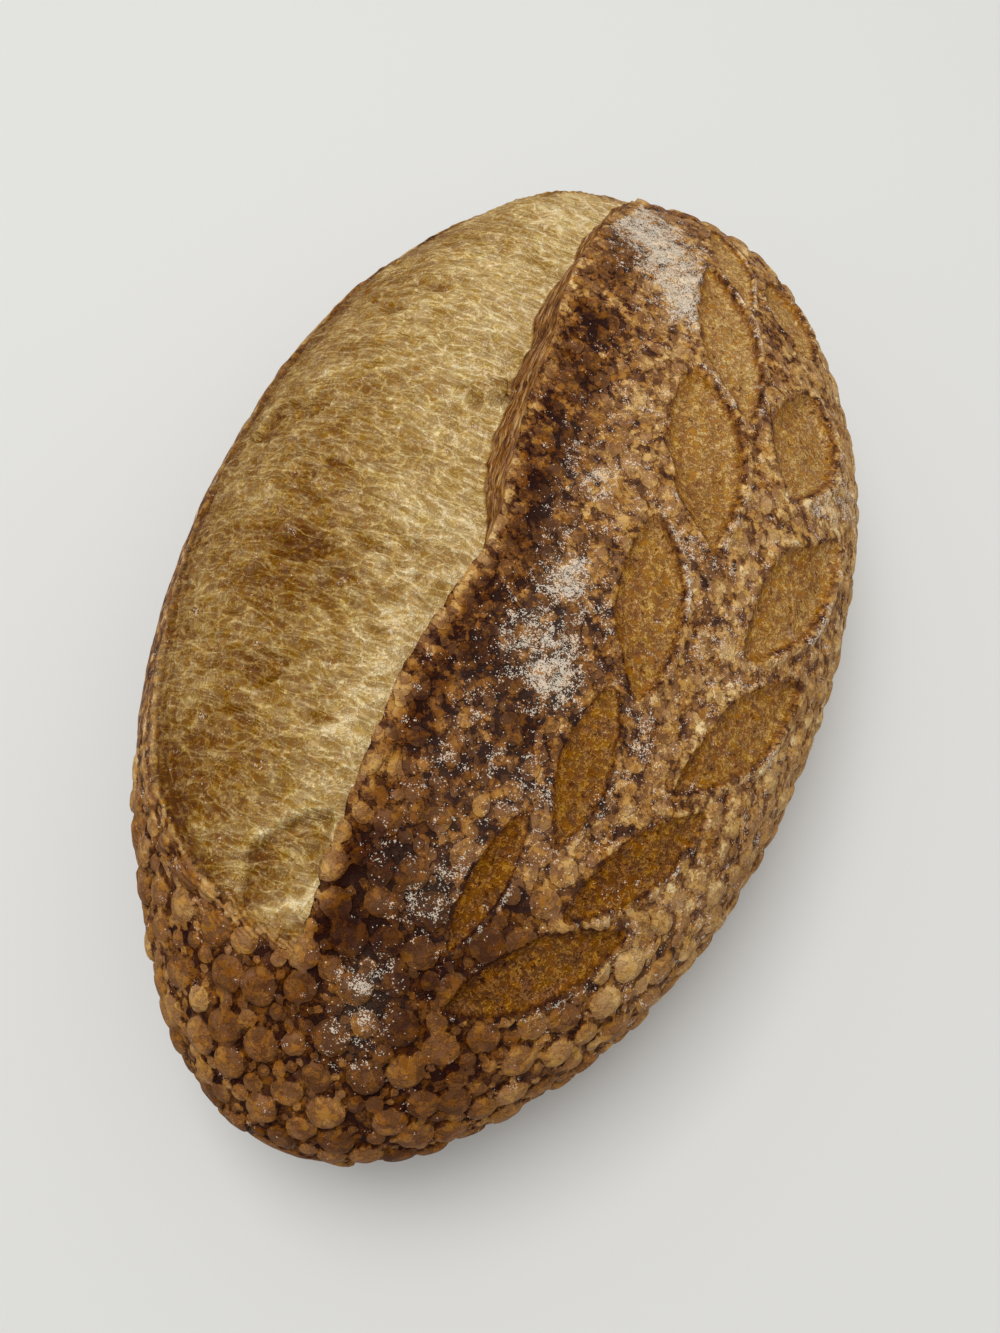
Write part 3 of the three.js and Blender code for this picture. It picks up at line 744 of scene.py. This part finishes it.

    # Each surface takes its own fine level, and all share the depth of bake with its painted light and
    # shade in the leaf cuts; the cut line adds painted shade in the grooves
    isLeaf = add(tree, "ShaderNodeMapRange", {"From Min": -0.02, "From Max": 0.04}, {"Value": part["leaf"]})
    level = add(tree, "ShaderNodeMix", {},
                {0: isLeaf.outputs[0], 2: crustLevel.outputs[0], 3: leafLevel.outputs[0]})
    level = add(tree, "ShaderNodeMix", {},
                {0: part["earFace"], 2: level.outputs[0], 3: faceLevel.outputs[0]})
    level = add(tree, "ShaderNodeMath", {}, {0: level.outputs[0], 1: part["bakeAndShade"]}, operation="ADD")
    level = add(tree, "ShaderNodeMath", {}, {0: level.outputs[0], 1: cutLineAndShade.outputs[0]}, operation="ADD")
    crust = add(tree, "ShaderNodeValToRGB", {}, {"Fac": level.outputs[0]})
    setRamp(crust, crustLook["crust"])
    crumbLevel = add(tree, "ShaderNodeMath", {}, {0: crumbLevel.outputs[0], 1: part["bakeAndShade"]},
                     operation="ADD")
    crumb = add(tree, "ShaderNodeValToRGB", {}, {"Fac": crumbLevel.outputs[0]})
    setRamp(crumb, crustLook["crumb"])
    colour = add(tree, "ShaderNodeMix", {}, {0: part["bloom"], 6: crust.outputs[0], 7: crumb.outputs[0]},
                 data_type="RGBA")

    # Sugars in the skin colour unevenly: some spots more orange, others greyer, at the same depth of bake
    sugar = add(tree, "ShaderNodeTexNoise",
                {"Scale": 1000 / patternWidths["sugar"], "Detail": 3, "Roughness": 0.7}, {"Vector": place})
    drift = add(tree, "ShaderNodeTexNoise",
                {"Scale": 1000 / patternWidths["drift"], "Detail": 4, "Roughness": 0.75}, {"Vector": place})
    richer = add(tree, "ShaderNodeMapRange",
                 {"From Min": 0.35, "From Max": 0.65, "To Min": 0.92, "To Max": 1.1},
                 {"Value": sugar.outputs["Fac"]})
    redder = add(tree, "ShaderNodeMapRange",
                 {"From Min": 0.35, "From Max": 0.65, "To Min": 0.504, "To Max": 0.494},
                 {"Value": drift.outputs["Fac"]})
    richer = add(tree, "ShaderNodeMath", {1: 0.06}, {0: isLeaf.outputs[0], 2: richer.outputs[0]},
                 operation="MULTIPLY_ADD")
    colour = add(tree, "ShaderNodeHueSaturation", {},
                 {"Hue": redder.outputs[0], "Saturation": richer.outputs[0], "Color": colour.outputs[2]})

    # Flour: loose grains, drawn coarser than real ones so that they show, in drifts with bare crust between
    grain = add(tree, "ShaderNodeTexVoronoi", {"Scale": 1000 / patternWidths["flourGrain"]},
                {"Vector": place})
    chance = add(tree, "ShaderNodeSeparateColor", {}, {"Color": grain.outputs["Color"]})
    crowd = add(tree, "ShaderNodeMath", {1: 0.32}, {0: part["flour"], 2: drift.outputs["Fac"]},
                operation="MULTIPLY_ADD")
    crowd = add(tree, "ShaderNodeMapRange",
                {"From Min": 0.61, "From Max": 0.82, "To Min": 0.0, "To Max": 0.85},
                {"Value": crowd.outputs[0]})
    crowd = add(tree, "ShaderNodeMath", {1: 0.06}, {0: part["flour"], 2: crowd.outputs[0]},
                operation="MULTIPLY_ADD")
    dust = add(tree, "ShaderNodeMath", {}, {0: chance.outputs[0], 1: crowd.outputs[0]},
               operation="LESS_THAN")
    film = add(tree, "ShaderNodeMath", {1: 0.06}, {0: part["flour"]}, operation="MULTIPLY")
    dust = add(tree, "ShaderNodeMath", {1: crustLook["flourCover"]},
               {0: dust.outputs[0], 2: film.outputs[0]}, operation="MULTIPLY_ADD")
    colour = add(tree, "ShaderNodeMix", {7: linear(crustLook["flour"])},
                 {0: dust.outputs[0], 6: colour.outputs[0]}, data_type="RGBA")
    tree.links.new(colour.outputs[2], shader.inputs["Base Color"])

    # The same fine levels as bump, in mm
    fineCrust = add(tree, "ShaderNodeMath", {1: 0.35}, {0: dome.outputs[0], 2: mottle.outputs[0]},
                    operation="MULTIPLY_ADD")
    fineFace = add(tree, "ShaderNodeMath", {1: 1.6}, {0: along.outputs["Fac"]}, operation="MULTIPLY")
    fineCrumb = add(tree, "ShaderNodeMath", {1: 0.9}, {0: crumbBump.outputs[0]}, operation="MULTIPLY")
    fine = add(tree, "ShaderNodeMix", {},
               {0: isLeaf.outputs[0], 2: fineCrust.outputs[0], 3: leafLevel.outputs[0]})
    fine = add(tree, "ShaderNodeMix", {}, {0: part["earFace"], 2: fine.outputs[0], 3: fineFace.outputs[0]})
    fine = add(tree, "ShaderNodeMix", {}, {0: part["bloom"], 2: fine.outputs[0], 3: fineCrumb.outputs[0]})
    bump = add(tree, "ShaderNodeBump", {"Strength": 1.0, "Distance": mm}, {"Height": fine.outputs[0]})
    tree.links.new(bump.outputs[0], shader.inputs["Normal"])
    shader.inputs["Roughness"].default_value = crustLook["roughness"]
    shader.inputs["IOR"].default_value = crustLook["refraction"]
    shader.inputs["Specular IOR Level"].default_value = crustLook["gloss"]
    return material


def dressLoaf():
    loaf = makeLoaf()
    loaf.data.materials.append(bakedCrust())
    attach(loaf, "root")
    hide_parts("loaf")
    print("loaf dressed:", len(loaf.data.polygons), "faces")


studio = {
    "floor": "#d5d5d2",
    "turn": 21.0,
    "pitch": 68.0,
    "distance": 267.3,
    "aim": (5.5, -17.9, 41.0),
    "lens": 27.03,
    "sensor": 36.0,
    "clipStart": 0.01,
    "floorSize": 6,
    "floorRoughness": 0.8,
    "sky": 0.5,
    # Name, place and size in m, and power in W
    "lamps": (("window", (-0.35, 0.18, 1.5), 0.9, 14.5), ("fill", (0.5, 0.0, 1.6), 1.6, 3.5)),
}


def makeFloor():
    bpy.ops.object.select_all(action="DESELECT")
    bpy.ops.mesh.primitive_plane_add(size=studio["floorSize"])
    floor = bpy.context.object
    floor.name = "paleFloor"
    material = bpy.data.materials.new("pale matt floor")
    material.use_nodes = True
    shader = material.node_tree.nodes["Principled BSDF"]
    shader.inputs["Base Color"].default_value = linear(studio["floor"])
    shader.inputs["Roughness"].default_value = studio["floorRoughness"]
    floor.data.materials.append(material)


def makeLights():
    for name, place, size, power in studio["lamps"]:
        data = bpy.data.lights.new(name, "AREA")
        data.size = size
        data.energy = power
        lamp = bpy.data.objects.new(name, data)
        bpy.context.scene.collection.objects.link(lamp)
        lamp.location = place
        lamp.rotation_euler = (-Vector(place)).to_track_quat("-Z", "Y").to_euler()
    world = bpy.data.worlds.new("studio")
    world.use_nodes = True
    world.node_tree.nodes["Background"].inputs[0].default_value = (1, 1, 1, 1)
    world.node_tree.nodes["Background"].inputs[1].default_value = studio["sky"]
    bpy.context.scene.world = world
    bpy.context.scene.view_settings.view_transform = "Standard"


def makeCamera():
    turn, pitch = math.radians(studio["turn"]), math.radians(studio["pitch"])
    look = Vector((-math.sin(turn) * math.cos(pitch), math.cos(turn) * math.cos(pitch), -math.sin(pitch)))
    data = bpy.data.cameras.new("camera")
    data.sensor_width = studio["sensor"]
    data.lens = studio["lens"]
    data.clip_start = studio["clipStart"]
    camera = bpy.data.objects.new("camera", data)
    bpy.context.scene.collection.objects.link(camera)
    camera.location = (Vector(studio["aim"]) - look * studio["distance"]) * mm
    camera.rotation_euler = look.to_track_quat("-Z", "Y").to_euler()
    bpy.context.scene.camera = camera


makeFloor()
makeLights()
makeCamera()
dressLoaf()
